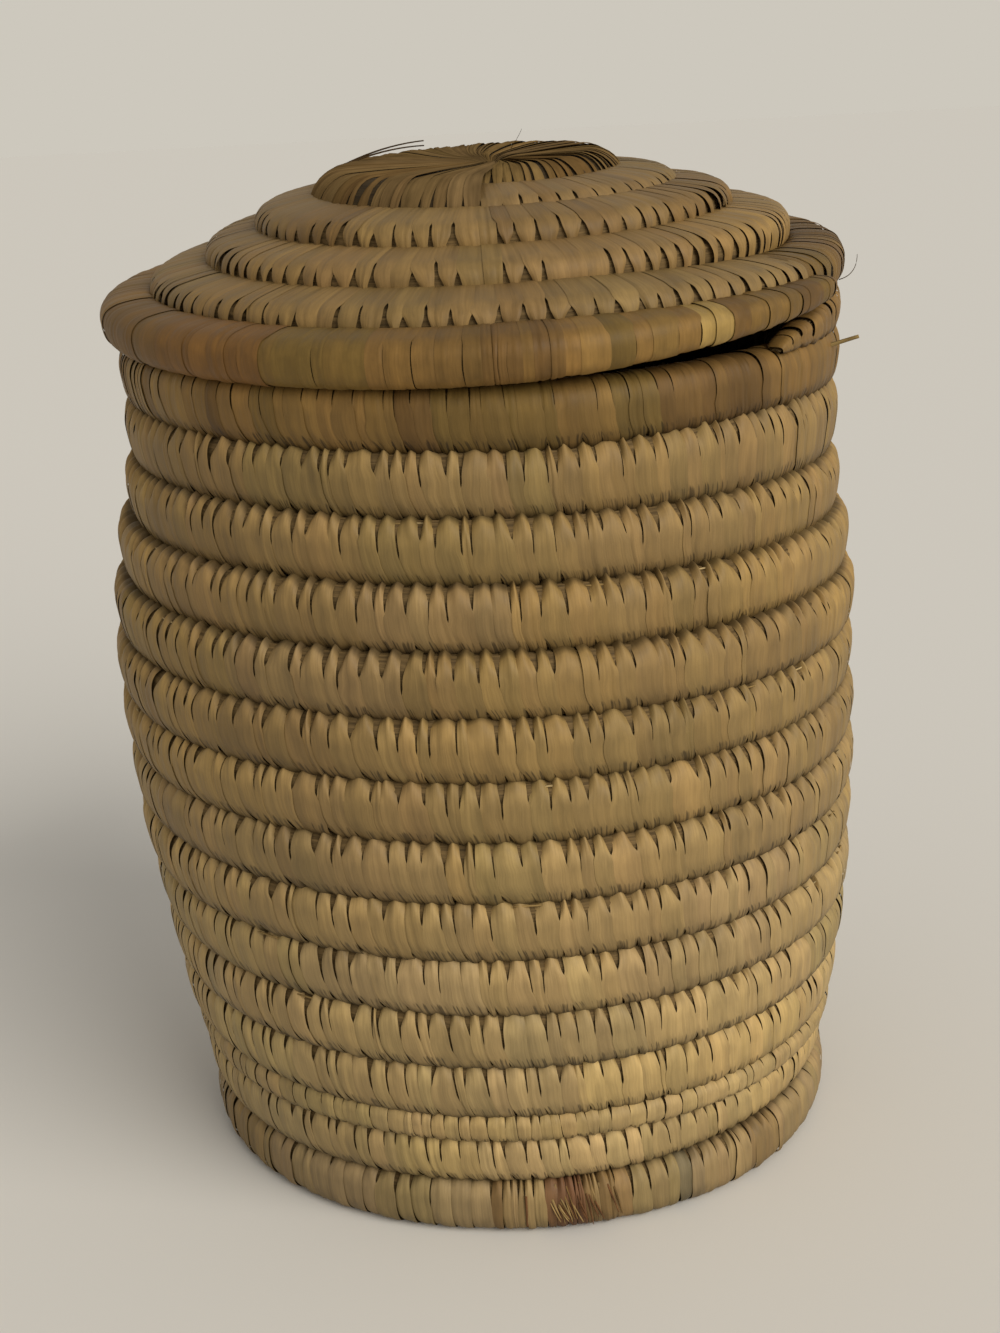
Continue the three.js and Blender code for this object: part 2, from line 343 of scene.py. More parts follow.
# How much lighter or darker than its leaves each part is, for red, green and blue, partly as painted light
# and shade:
# the low wall is painted lighter, and the high wall, the lid and most of all the crown darker, as light fell
# on them
LOW_TONE_AND_PAINTED_LIGHT = np.array((1.34, 1.42, 1.54))
HIGH_TONE_AND_PAINTED_SHADE = np.array((0.9, 0.87, 0.79))
FOOT_TONE = np.array((1.02, 1.06, 1.16))
RIM_TONE = np.array((1.04, 1.02, 0.88))
LID_TONE_AND_PAINTED_SHADE = np.array((0.79, 0.74, 0.65))
LID_RIM_TONE = np.array((0.96, 0.92, 0.74))
CROWN_TONE_AND_PAINTED_SHADE = np.array((0.66, 0.63, 0.63))
PLAIN_TONE = np.ones(3)

# How leaves and strips of one colour differ
LEAF_BLENDS = (0, 0.6)
LEAF_SHADES = (0.92, 1.08)
STRIP_HUES = (0.985, 1.015)


def leaf_runs(count, leaves, limit):
    """One colour for each strip. A maker sews several stitches with one leaf, so colours come in runs."""
    colours = np.array([colour for colour, _ in leaves])
    chances = np.array([chance for _, chance in leaves])
    tint = np.empty((count, 3))
    start = 0
    while start < count:
        length = int(rng.integers(1, limit))
        one, two = rng.choice(len(colours), 2, p=chances / chances.sum())
        blend = lerp(colours[one], colours[two], rng.uniform(*LEAF_BLENDS))
        tint[start : start + length] = blend * rng.uniform(*LEAF_SHADES)
        start += length
    return tint * rng.uniform(*LEAF_SHADES, (count, 1)) * rng.uniform(*STRIP_HUES, (count, 3))


# Manners of binding

# Tips are up or out. Gap, flare, seam and squeeze are shares of a strip's width: the slits, the notches at
# the tips, the closed lines (an overlap below 0) and how far strips are drawn together opposite to the tips.
# Closed is the share of lines without a slit. Upper and lower round the corners, where 2 is an ellipse.
Manner = namedtuple(
    "Manner",
    "tips gap flare closed start seam squeeze lean slant over twist tooth lobe "
    "crown crown_tip crease upper lower",
)
WALL_MANNER = Manner(
    tips="up", gap=(0.02, 0.055), flare=(0.02, 0.13), closed=0.1, start=(-0.2, 0.4), seam=(-0.1, -0.04),
    squeeze=0.03, lean=(0.5, -3.0), slant=0.5, over=(0.03, 0.14), twist=0.3, tooth=1.9, lobe=0.5,
    crown=0.05, crown_tip=0.8, crease=0.3, upper=2.4, lower=2.9,
)
LOW_WALL_MANNER = WALL_MANNER._replace(
    gap=(0.025, 0.06), flare=(0.02, 0.16), closed=0.06, start=(-0.4, 0.3), seam=(-0.07, 0),
    lean=(1.2, -2.0), tooth=1.7, lobe=0.4, crown=0.12,
)
FILLER_MANNER = LOW_WALL_MANNER._replace(
    gap=(0, 0.04), flare=(0, 0.1), seam=(-0.03, 0.03), lean=(0.2, -0.4), tooth=0.6, lobe=0.3, crown=0.2,
)
RIM_MANNER = WALL_MANNER._replace(
    gap=(0, 0.03), flare=(0, 0.05), seam=(-0.14, -0.06), over=(0.06, 0.24), twist=0.1, tooth=0,
    crown_tip=0.4, upper=2.5,
)
RIM_SLIT_MANNER = RIM_MANNER._replace(gap=(0, 0.12), closed=0.2, start=(-0.6, 0.2), crown=0.4)
FOOT_MANNER = WALL_MANNER._replace(
    gap=(0, 0.06), flare=(0, 0.1), closed=0.25, start=(-0.2, 0.6), seam=(-0.08, 0), squeeze=0.04,
    lean=(0.3, -0.8), slant=0.7, over=(0.1, 0.4), twist=0.25, tooth=1, lobe=0, crown=0.25,
    upper=2.8, lower=3.2,
)
LID_MANNER = WALL_MANNER._replace(
    tips="out", gap=(0.04, 0.1), flare=(0.08, 0.26), closed=0.04, start=(0, 0.45), squeeze=0, lean=(0, 0),
    over=(0.02, 0.12), twist=0.35, tooth=0, lobe=0, crown=0.15, crown_tip=1.4, upper=2.8, lower=2.4,
)
BASE_MANNER = LID_MANNER._replace(start=(-0.4, 0.2), flare=(0, 0.1))
BASE_BUNDLE_MANNER = BASE_MANNER._replace(upper=2.4)
LID_RIM_MANNER = LID_MANNER._replace(
    gap=(0, 0.02), flare=(0, 0.02), closed=0.5, seam=(-0.16, -0.08), over=(0.06, 0.26), twist=0.1,
    crown_tip=0.2, upper=2.5,
)
LID_RIM_SLIT_MANNER = LID_RIM_MANNER._replace(
    gap=(0.02, 0.09), flare=(0.02, 0.12), closed=0.1, start=(0.2, 0.6),
)


def blend_manners(low, high, share):
    """A manner of binding part of the way between two others."""
    pairs = zip(low[1:], high[1:])
    return Manner(low.tips, *(lerp(np.array(start), np.array(end), share) for start, end in pairs))


# Places of the strips along a coil

EDGE_UNEVENNESS = 0.36

# A stretch of a coil, up to its end, bound with strips from narrow to wide in one manner and set of leaves
Stretch = namedtuple("Stretch", "end narrow wide manner leaves")


def even_edges(first, last, per_turn):
    """Edges of strips that are nearly evenly spaced."""
    count = int(round((last - first) * per_turn))
    edges = first + np.arange(count + 1) / per_turn
    edges[1:-1] += rng.uniform(-EDGE_UNEVENNESS, EDGE_UNEVENNESS, count - 1) / per_turn
    return edges


def mixed_edges(first, last, turn_length, narrow, wide):
    """Edges of strips whose widths vary from narrow to wide."""
    widths = []
    while sum(widths) < (last - first) * turn_length:
        widths.append(rng.uniform(narrow, wide))
    edges = np.concatenate([[0], np.cumsum(widths)])
    return first + (last - first) * edges / edges[-1]


def edges_within(edges, first, last):
    """The edges from first to last, and the next one, where the last strip ends."""
    inside = np.nonzero((edges >= first) & (edges < last))[0]
    return edges[inside[0] : inside[-1] + 2]


# Strips wrapped round a coil

STRIP_COLUMNS = 13
STRIP_ROWS = 48
MESH_CROWDING = 0.15

# How strips vary. Spans go from 0, halfway round the coil, to 1 at the strips' tips or opposite to them
GATHER_SPAN = (0.05, 0.95)
GATHER_SIZES = (0.5, 1.4)
GATHER_ARCH = 2.5
SLIT_FADE = 0.3
SLIT_SHARING = (0.7, 1.3)
NOTCH_SPAN = {"up": (0.15, 0.95), "out": (0.42, 1.0)}
PLEAT_CHANCE = 0.45
PLEAT_SPAN = (0.4, 0.7)
PLEAT_GAP = (0.01, 0.06)
OVER_CHANCE = 0.75
ARCH_POWER = 2.2
TWIST_SPAN = (-0.1, 0.9)
TOOTH_SPAN = (0.2, 0.95)
TOOTH_SIZES = (0.5, 1.35)
TOOTH_SKEWS = (-0.3, 0.3)
TOOTH_BLUNTNESS = 0.18
LOBE_SIZES = (-0.2, 2.4)
CREASES_PER_STRIP = 3
CREASE_PLACES = (-0.85, 0.85)
CREASE_BENDS = (-0.2, 0.2)
CREASE_BEND_START = 1.3
CREASE_SPREADS = (0.14, 0.32)
CREASE_RIDGE = 0.7

# How light a strip is: tips lighter from wear and a painted highlight, gathers darker from dirt and painted
# shade
TIP_WEAR_AND_HIGHLIGHT = 0.2
TIP_LIGHT_SPAN = (0.1, 0.7)
GATHER_SHADE = 0.3
# Painted shade in the crevice between courses: under the next course, and at tips that reach up into it
UNDER_SHADE = 0.5
UNDER_SPAN = (0.62, 0.86)
ABOVE_SHADE = 0.6
ABOVE_SPAN = (0.84, 0.97)
# Painted shade across each strip, one side lighter and the other darker, as over a fold along it
PAINTED_SIDE_SHADES = (-0.08, 0.08)
WEATHERING = 0.07
WEATHERING_PACE = 4
# Where dark creases are painted on a strip's gathered bottom, as painted shade
CREASE_SHADE_SPAN = (0.1, 0.55)

# The leaf's own coordinates, which the materials' streaks follow
LEAF_PER_ANGLE = 12
LEAF_OFFSETS = (0, 900)

# Runs of strips from one leaf are shorter than this
RUN_LIMIT = 14
STRETCH_RUN_LIMIT = 5

Strips = namedtuple("Strips", "points tint fold leaf")


def tip_share(angle, manner):
    """How near the strips' tips an angle round the section is: 1 at the tips and -1 opposite to them."""
    if manner.tips == "up":
        return rounded_place(angle, manner.upper, manner.lower)[1]
    from_outward = np.abs((angle + math.pi) % (2 * math.pi) - math.pi)
    return 1 - from_outward / (math.pi / 2)


def creases(count, across, angle, amount):
    """Fine folds that run along each strip."""
    depth = 0
    for _ in range(CREASES_PER_STRIP):
        place = rng.uniform(*CREASE_PLACES, (count, 1, 1))
        bend = rng.uniform(*CREASE_BENDS, (count, 1, 1)) * np.sin(angle + CREASE_BEND_START)[:, None]
        spread = rng.uniform(*CREASE_SPREADS, (count, 1, 1))
        size = rng.uniform(-amount, CREASE_RIDGE * amount, (count, 1, 1))
        depth = depth + size * np.exp(-(((across - place - bend) / spread) ** 2))
    return depth


def lying_over(count, heights, across):
    """The height of strips that lie over their neighbour at one side and under it at the other."""
    over = rng.uniform(*heights, count + 1) * np.where(rng.random(count + 1) < OVER_CHANCE, 1, -1)
    return lerp(over[:-1, None], -over[1:, None], (across + 1) / 2)[:, None, :]


def leaf_places(across, along, offset):
    """Places on a leaf, across it, along it and at an offset of its own."""
    return np.stack(np.broadcast_arrays(across, along, offset), -1)


def strip_sides(edges, manner, tip, gather, direction, turn_length):
    """Both sides of each strip, and how far each line between two strips is open.

    A line opens into a slit and a notch towards the tips, and gathers or opens into a pleat opposite.
    """
    lines = (len(edges), 1)
    is_open = rng.random(lines) > manner.closed
    slit_start = rng.uniform(*manner.start, lines)
    slit = smoothstep(slit_start, slit_start + SLIT_FADE, tip)
    notch = smoothstep(*NOTCH_SPAN[manner.tips], tip) ** 2
    opening = is_open * (rng.uniform(*manner.gap, lines) * slit + rng.uniform(*manner.flare, lines) * notch)
    is_pleated = (manner.lobe > 0) * (rng.random(lines) < PLEAT_CHANCE)
    pleat = is_pleated * smoothstep(*PLEAT_SPAN, -tip)
    opening = opening + rng.uniform(*PLEAT_GAP, lines) * pleat
    seam = rng.uniform(*manner.seam, lines) * (1 - np.maximum(is_open * np.maximum(slit, notch), pleat))
    drawn_in = seam + manner.squeeze * gather * rng.uniform(*GATHER_SIZES, lines)
    lean = manner.lean[0] * tip + manner.lean[1] * gather + manner.slant * rng.normal(0, 1, lines) * tip
    line = edges[:, None] + direction * lean / turn_length
    width = np.diff(edges)[:, None]
    sharing = rng.uniform(*SLIT_SHARING, lines)
    left = line[:-1] + width * (opening * sharing + drawn_in)[:-1]
    right = line[1:] - width * (opening * (2 - sharing) + drawn_in)[1:]
    return left, right, opening


def strip_height(manner, opening, tip, gather, angle, across):
    """How high each strip lies over its coil, with its overlap, arch, twist and folds."""
    count = len(opening) - 1
    step = lying_over(count, manner.over, across)
    narrowing = (opening[:-1] + opening[1:])[..., None]
    crown = manner.crown + manner.crown_tip * narrowing + GATHER_ARCH * manner.squeeze * gather[:, None]
    dome = crown * (1 - np.abs(across) ** ARCH_POWER)
    twist = rng.normal(0, manner.twist, (count, 1, 1)) * smoothstep(*TWIST_SPAN, tip)[:, None] * across
    return step + dome + twist + creases(count, across, angle, manner.crease)


def strip_rise(manner, count, tip, across):
    """How far each strip's middle reaches up into the next course as a tooth, and down as a lobe."""
    skew = rng.uniform(*TOOTH_SKEWS, (count, 1, 1)) * (1 - across**2)
    peak = 1 - 2 * np.hypot(across - skew, TOOTH_BLUNTNESS)
    tooth = manner.tooth * rng.uniform(*TOOTH_SIZES, (count, 1, 1)) * smoothstep(*TOOTH_SPAN, tip)[:, None]
    lobe = manner.lobe * rng.uniform(*LOBE_SIZES, (count, 1, 1)) * smoothstep(*TOOTH_SPAN, -tip)[:, None]
    return peak * (tooth - lobe)


def strip_shade(manner, edges, tip, gather, across):
    """How light each place on each strip is: wear and dirt, with painted highlight and painted shade."""
    # Painted shade where a strip goes under the next course and where its tips reach up into it
    under = UNDER_SHADE * smoothstep(*UNDER_SPAN, -tip) * (manner.lobe > 0)
    above = ABOVE_SHADE * smoothstep(*ABOVE_SPAN, tip) * (manner.tooth > 0)
    # Tips painted lighter, partly wear and partly a painted highlight; gathers darker, partly dirt and
    # partly painted shade
    lightness = (1 + TIP_WEAR_AND_HIGHLIGHT * smoothstep(*TIP_LIGHT_SPAN, tip) - GATHER_SHADE * gather) * (1 - under) * (1 - above)
    # Painted shade: one side of each strip lighter, the other darker
    painted_side_shade = 1 + rng.uniform(*PAINTED_SIDE_SHADES, (len(edges) - 1, 1, 1)) * across
    weathered = 1 + WEATHERING * wander(edges[:-1, None, None] * WEATHERING_PACE, shift=3)
    return (lightness[:, None] * painted_side_shade * weathered)[..., None]


def bind(path, edges, manner, leaves, turn_length, facing=0, direction=1, tone=PLAIN_TONE, limit=RUN_LIMIT):
    """Strips wrapped round a coil, one between each two edges. Facing is the angle that is meshed finest."""
    count = len(edges) - 1
    across = np.linspace(-1, 1, STRIP_COLUMNS)
    even = np.linspace(-1, 1, STRIP_ROWS, endpoint=False)
    angle = facing + math.pi * (even - MESH_CROWDING * np.sin(math.pi * even))
    tip = tip_share(angle, manner)
    gather = smoothstep(*GATHER_SPAN, -tip)
    left, right, opening = strip_sides(edges, manner, tip, gather, direction, turn_length)
    turn = lerp(left[..., None], right[..., None], (across + 1) / 2)
    height = strip_height(manner, opening, tip, gather, angle, across)
    rise = strip_rise(manner, count, tip, across)
    points = section_point(path(turn), angle[:, None] + 0 * turn, height, manner, rise)
    shade = strip_shade(manner, edges, tip, gather, across)
    tint = tone * leaf_runs(count, leaves, limit)[:, None, None, :] * shade
    # Where the material paints dark creases, as painted shade where strips gather
    fold = np.broadcast_to(smoothstep(*CREASE_SHADE_SPAN, -tip)[:, None] * (manner.lobe > 0), turn.shape)
    half_width = np.diff(edges)[:, None, None] * turn_length / 2
    offset = rng.uniform(*LEAF_OFFSETS, (count, 1, 1))
    leaf = leaf_places(half_width * across, angle[:, None] * LEAF_PER_ANGLE, offset)
    return Strips(points, tint, fold, leaf)


def bind_stretches(path, start, stretches, turn_length, **options):
    """Strips wrapped round a coil, stretch after stretch."""
    for end, narrow, wide, manner, leaves in stretches:
        edges = mixed_edges(start, end, turn_length, narrow, wide)
        yield bind(path, edges, manner, leaves, turn_length, limit=STRETCH_RUN_LIMIT, **options)
        start = end


def shared_out(strips, pieces):
    """Strips shared out in order over a number of pieces, to keep each mesh small."""
    shares = [np.array_split(field, pieces) for field in strips]
    return [Strips(*share) for share in zip(*shares)]


# Meshes

def placed(name, data):
    """A new object in the scene."""
    made = bpy.data.objects.new(name, data)
    bpy.context.scene.collection.objects.link(made)
    return made


def loop_faces(count, rows, columns):
    """Faces of many grids whose rows close into loops."""
    index = np.arange(count * rows * columns).reshape(count, rows, columns)
    after = np.roll(index, -1, axis=1)
    corners = [index[..., :-1], index[..., 1:], after[..., 1:], after[..., :-1]]
    return np.stack(corners, -1).reshape(-1, 4).tolist()


def tube_faces(rings, sides, first=0):
    """Faces of a tube with closed ends, whose points count on from the first."""
    index = first + np.arange(rings * sides).reshape(rings, sides)
    beside = np.roll(index, -1, axis=1)
    faces = np.stack([index[:-1], beside[:-1], beside[1:], index[1:]], -1).reshape(-1, 4).tolist()
    return faces + [index[0][::-1].tolist(), index[-1].tolist()]


def mesh_object(name, points, faces, tint, leaf, fold=None):
    """A smooth mesh object with the two attributes that the leaf and grass materials read."""
    mesh = bpy.data.meshes.new(name)
    mesh.from_pydata((points.reshape(-1, 3) * MILLIMETRE).tolist(), [], faces)
    tint_layer = mesh.attributes.new("tint", "FLOAT_COLOR", "POINT")
    colours = np.zeros((tint.size // 3, 4))
    colours[:, :3] = tint.reshape(-1, 3)
    # The colour's alpha carries where dark creases are painted, as painted shade
    if fold is not None:
        colours[:, 3] = fold.ravel()
    tint_layer.data.foreach_set("color", colours.astype(np.float32).ravel())
    leaf_layer = mesh.attributes.new("leaf", "FLOAT_VECTOR", "POINT")
    leaf_layer.data.foreach_set("vector", leaf.astype(np.float32).ravel())
    mesh.shade_smooth()
    return placed(name, mesh)


def strips_object(name, strips):
    faces = loop_faces(*strips.points.shape[:3])
    return mesh_object(name, strips.points, faces, strips.tint, strips.leaf, strips.fold)


# Grass bundles inside the bindings

BUNDLE_UNEVENNESS = 0.2
STRAW_HEIGHTS = (-0.35, 0.35)
STRAW_SHADES = (0.7, 1.35)


def bundle(name, path, first, last, manner, slack, straws=60, rings_per_turn=120):
    """The grass bundle inside a coil's binding: a tube of straws, closed at its ends."""
    rings = int((last - first) * rings_per_turn)
    turn = np.linspace(first, last, rings)[:, None]
    angle = np.linspace(0, 2 * math.pi, straws, endpoint=False)[None, :]
    uneven = BUNDLE_UNEVENNESS * wander(turn * 5 + angle, shift=4)
    height = rng.uniform(*STRAW_HEIGHTS, straws) + uneven - slack
    points = section_point(path(turn + 0 * angle), angle + 0 * turn, height, manner)
    leaf = leaf_places(across=angle * 14, along=turn * 900, offset=50)
    tint = BUNDLE * rng.uniform(*STRAW_SHADES, (straws, 1)) + 0 * points
    return mesh_object(name, points, tube_faces(rings, straws), tint, leaf)


# Fans of strips over the starts of the coils

# Where slits start and tears lie goes from 0 in a fan's middle to 1 at its edge
FAN_LONG_SLIT = 0.1
FAN_SHORT_SLITS = (0.6, 0.78)
TEAR_REACH = 0.68
TEAR_SPREAD = 0.17
FAN_BACK_START = (0.2, 0.32)
FAN_BACK_END = (0.68, 0.8)
FAN_BACK_CLOSED = 0.8
FAN_OVERLAP = 0.06
FAN_SWIRL = 0.07
FAN_WAVER = 0.35
FAN_OVER = (0.15, 0.5)
FAN_ARCH = 0.15
FAN_ARCH_TIP = 0.6
FAN_CREASE = 0.35
FAN_FLAT_MIDDLE = (0, 0.2)
FAN_DARK_MIDDLE = (0.3, 0)
FAN_MIDDLE_SHADE = 0.3
FAN_RUN_LIMIT = 8
FILLING_UNEVENNESS = 0.3

FanShape = namedtuple("FanShape", "hole drift shoulder flat_share edge_radius edge_level top under")


def fan_point(turn, travel, edge_turn, shape, height):
    """A place on a fan: travel goes from 0 in the middle to 1 at the edge, and on to 2 back underneath.

    The edge is the one at edge_turn, so that a strip can keep one edge over its whole width.
    """
    reach = 1 - np.abs(1 - travel)
    bend = np.clip((reach - shape.flat_share) / (1 - shape.flat_share), 0, 1) * math.pi / 2
    shoulder = shape.edge_radius(edge_turn) - shape.shoulder
    flat = lerp(shape.hole, shoulder, np.minimum(reach / shape.flat_share, 1))
    radius = flat + (shape.shoulder + height) * np.sin(bend)
    over = travel <= 1
    face = np.where(over, shape.top(flat), shape.under(flat))
    level = lerp(shape.edge_level(edge_turn), face, np.cos(bend))
    level = level + np.where(over, 1, -1) * height * np.cos(bend)
    place = raised(around(-turn) * radius[..., None], level)
    place[..., 0] += shape.drift * (1 - reach) ** 2
    return place


def fan_openings(edges, reach, gap, slit_chance, tears):
    """How far the lines between a fan's strips are open. They are nearly closed at the back."""
    lines = (len(edges), 1)
    is_long = rng.random(lines) < slit_chance(edges)[:, None]
    start = np.where(is_long, FAN_LONG_SLIT, rng.uniform(*FAN_SHORT_SLITS, lines))
    at_back = smoothstep(*FAN_BACK_START, edges) * (1 - smoothstep(*FAN_BACK_END, edges))
    opening = rng.uniform(*gap, lines) * smoothstep(start, 1, reach)
    opening *= 1 - FAN_BACK_CLOSED * at_back[:, None]
    for tear, size in tears:
        torn = size * np.exp(-(((reach - TEAR_REACH) / TEAR_SPREAD) ** 2))
        opening[np.abs(edges - tear).argmin()] += torn
    return opening


def fan(edges, shape, gap, slit_chance, tears, leaves, tone=PLAIN_TONE):
    """Strips that radiate from a middle, bend down at their outer ends and run back underneath."""
    count = len(edges) - 1
    across = np.linspace(-1, 1, STRIP_COLUMNS)
    travel = np.linspace(0, 2, STRIP_ROWS, endpoint=False)
    reach = 1 - np.abs(1 - travel)
    opening = fan_openings(edges, reach, gap, slit_chance, tears)
    waver = rng.normal(0, FAN_WAVER, (count + 1, 1)) / count * reach * (1 - reach) * 2
    line = edges[:, None] + (FAN_SWIRL * (1 - reach) ** 2 + waver)
    width = np.diff(edges)[:, None]
    left = line[:-1] + width * (opening[:-1] - FAN_OVERLAP)
    right = line[1:] - width * (opening[1:] - FAN_OVERLAP)
    turn = lerp(left[..., None], right[..., None], (across + 1) / 2)
    step = lying_over(count, FAN_OVER, across)
    narrowing = (opening[:-1] + opening[1:])[..., None]
    dome = (FAN_ARCH + FAN_ARCH_TIP * narrowing) * (1 - across**2)
    folds = creases(count, across, travel * math.pi, FAN_CREASE)
    height = (step + dome + folds) * smoothstep(*FAN_FLAT_MIDDLE, reach)[:, None]
    middle = (edges[1:] + edges[:-1])[:, None, None] / 2
    points = fan_point(turn, travel[:, None] + 0 * turn, middle, shape, height)
    lightness = (1 - FAN_MIDDLE_SHADE * smoothstep(*FAN_DARK_MIDDLE, reach))[:, None]
    # Painted shade: one side of each strip lighter, the other darker
    painted_side_shade = 1 + rng.uniform(*PAINTED_SIDE_SHADES, (count, 1, 1)) * across
    tint = tone * leaf_runs(count, leaves, FAN_RUN_LIMIT)[:, None, None, :] * (lightness * painted_side_shade)[..., None]
    offset = rng.uniform(*LEAF_OFFSETS, (count, 1, 1))
    leaf = leaf_places(across=across * 4.3, along=travel[:, None] * 80, offset=offset)
    return Strips(points, tint, np.zeros(turn.shape), leaf)


def fan_filling(name, shape, slack, shade, spokes=96, rows=40, end=0.02):
    """The grass under a fan's strips. A shade below 1 paints it darker, as painted shade, apart from the
    step where the coil's spiral begins.
    """
    turn = np.linspace(0, 1, spokes)[:, None]
    travel = np.linspace(end, 2 - end, rows)[None, :]
    uneven = FILLING_UNEVENNESS * wander(turn * 9 + travel, shift=1)
    points = fan_point(turn + 0 * travel, travel + 0 * turn, turn, shape, uneven - slack)
    index = np.arange(spokes * rows).reshape(spokes, rows)
    beside = np.roll(index, -1, axis=0)
    faces = np.stack([index, beside, np.roll(beside, -1, axis=1), np.roll(index, -1, axis=1)], -1)
    leaf = leaf_places(across=travel * 60, along=turn * 300, offset=70)
    tint = shade * BUNDLE + 0 * points
    tint[[0, -1]] = BUNDLE
    return mesh_object(name, points, faces.reshape(-1, 4).tolist(), tint, leaf)


# Loose threads and straws

THREAD_SHADES = (0.8, 1.15)
NO_THREAD_DIRECTION = (0.31, 0.47, 0.83)


def bow(start, end, sag, count=12):
    """A line from start to end that bows aside by sag at its middle."""
    share = np.linspace(0, 1, count)[:, None]
    return lerp(np.array(start), np.array(end), share) + 4 * share * (1 - share) * np.array(sag)


def threads(name, lines, colours, sides=6):
    """Thin round threads, each given as the points along it and its radius at the start and the end."""
    points, faces, tint, leaf = [], [], [], []
    for line, first_radius, last_radius in lines:
        along = np.gradient(line, axis=0)
        across = np.cross(along, NO_THREAD_DIRECTION)
        across /= np.linalg.norm(across, axis=1, keepdims=True)
        third = np.cross(along, across)
        third /= np.linalg.norm(third, axis=1, keepdims=True)
        radius = np.linspace(first_radius, last_radius, len(line))[:, None, None]
        angle = np.linspace(0, 2 * math.pi, sides, endpoint=False)[None, :, None]
        ring = line[:, None] + radius * (across[:, None] * np.cos(angle) + third[:, None] * np.sin(angle))
        faces += tube_faces(len(line), sides, len(points))
        points += ring.reshape(-1, 3).tolist()
        colour = colours[rng.integers(len(colours))] * rng.uniform(*THREAD_SHADES)
        tint += [colour] * ring[..., 0].size
        length = np.linspace(0, 20, len(line))[:, None]
        leaf += leaf_places(np.arange(sides), length, rng.uniform(*LEAF_OFFSETS)).reshape(-1, 3).tolist()
    return mesh_object(name, np.array(points), faces, np.array(tint), np.array(leaf))


# Materials

# A stretch scales a leaf's coordinates, across it, along it and its offset, so that noise makes long streaks
RIB_STRETCH = (1.2, 0.09, 1)
MOTTLE_STRETCH = (0.18, 0.09, 1)
CREASE_SHADE_STRETCH = (1.1, 0.05, 1)
NOISE_SPAN = (0.3, 0.7)
MOTTLE_SHADES = (0.8, 1.14)
CREASE_SHADE_NOISE_SPAN = (0.5, 0.64)
PAINTED_CREASE_SHADES = (1, 0.35)
SMOOTHER = 0.08
ROUGHER = 0.1
RIB_STRENGTH = 0.35
RIB_HEIGHT = 0.35


def attribute(tree, name):
    node = tree.nodes.new("ShaderNodeAttribute")
    node.attribute_name = name
    return node


def combined(tree, operation, one, other):
    node = tree.nodes.new("ShaderNodeMath")
    node.operation = operation
    tree.links.new(one, node.inputs[0])
    tree.links.new(other, node.inputs[1])
    return node.outputs[0]


def streak_noise(tree, leaf, stretch, detail):
    """Noise in the leaf's own coordinates, drawn out by a stretch."""
    scale = tree.nodes.new("ShaderNodeVectorMath")
    scale.operation = "MULTIPLY"
    scale.inputs[1].default_value = stretch
    tree.links.new(leaf.outputs["Vector"], scale.inputs[0])
    noise = tree.nodes.new("ShaderNodeTexNoise")
    noise.inputs["Scale"].default_value = 1
    noise.inputs["Detail"].default_value = detail
    tree.links.new(scale.outputs[0], noise.inputs["Vector"])
    return noise.outputs[0]


def map_range(tree, value, span, result):
    """A value's span mapped to the span of the result."""
    node = tree.nodes.new("ShaderNodeMapRange")
    for socket, limit in zip(node.inputs[1:5], (*span, *result)):
        socket.default_value = limit
    tree.links.new(value, node.inputs[0])
    return node.outputs[0]


def leaf_material(name, roughness, streak, gloss):
    """Dried leaf or grass: each strip or straw has its own colour, with fine streaks and ribs along it."""
    material = bpy.data.materials.new(name)
    material.use_nodes = True
    tree = material.node_tree
    shader = tree.nodes["Principled BSDF"]
    shader.inputs["Specular IOR Level"].default_value = gloss

    tint = attribute(tree, "tint")
    leaf = attribute(tree, "leaf")
    ribs = streak_noise(tree, leaf, RIB_STRETCH, detail=3)
    mottle = streak_noise(tree, leaf, MOTTLE_STRETCH, detail=4)
    streaks = map_range(tree, ribs, NOISE_SPAN, (1 - streak, 1 + streak))
    patches = map_range(tree, mottle, NOISE_SPAN, MOTTLE_SHADES)
    # Dark creases painted where strips gather, as painted shade
    noise = streak_noise(tree, leaf, CREASE_SHADE_STRETCH, detail=2)
    folds = combined(tree, "MULTIPLY", noise, tint.outputs["Alpha"])
    painted_creases = map_range(tree, folds, CREASE_SHADE_NOISE_SPAN, PAINTED_CREASE_SHADES)
    shade = combined(tree, "MULTIPLY", combined(tree, "MULTIPLY", streaks, patches), painted_creases)
    colour = tree.nodes.new("ShaderNodeVectorMath")
    colour.operation = "SCALE"
    tree.links.new(tint.outputs["Color"], colour.inputs[0])
    tree.links.new(shade, colour.inputs["Scale"])
    tree.links.new(colour.outputs[0], shader.inputs["Base Color"])

    rough = map_range(tree, mottle, NOISE_SPAN, (roughness - SMOOTHER, roughness + ROUGHER))
    tree.links.new(rough, shader.inputs["Roughness"])
    bump = tree.nodes.new("ShaderNodeBump")
    bump.inputs["Strength"].default_value = RIB_STRENGTH
    bump.inputs["Distance"].default_value = RIB_HEIGHT * MILLIMETRE
    tree.links.new(ribs, bump.inputs["Height"])
    tree.links.new(bump.outputs[0], shader.inputs["Normal"])
    return material


LEAF = leaf_material("palm_leaf", roughness=0.6, streak=0.1, gloss=0.3)
SMOOTH_LEAF = leaf_material("smooth_palm_leaf", roughness=0.56, streak=0.09, gloss=0.22)
WORN_LEAF = leaf_material("worn_palm_leaf", roughness=0.7, streak=0.1, gloss=0)
GRASS = leaf_material("dry_grass", roughness=0.8, streak=0.4, gloss=0.2)


def dress(made, body, material, slot, *nodes):
    """Gives a piece its material and the body it moves with, and hides the CAD nodes it stands for."""
    made.data.materials.append(material)
    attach(made, body)
    if nodes:
        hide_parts(*nodes)


# Wall

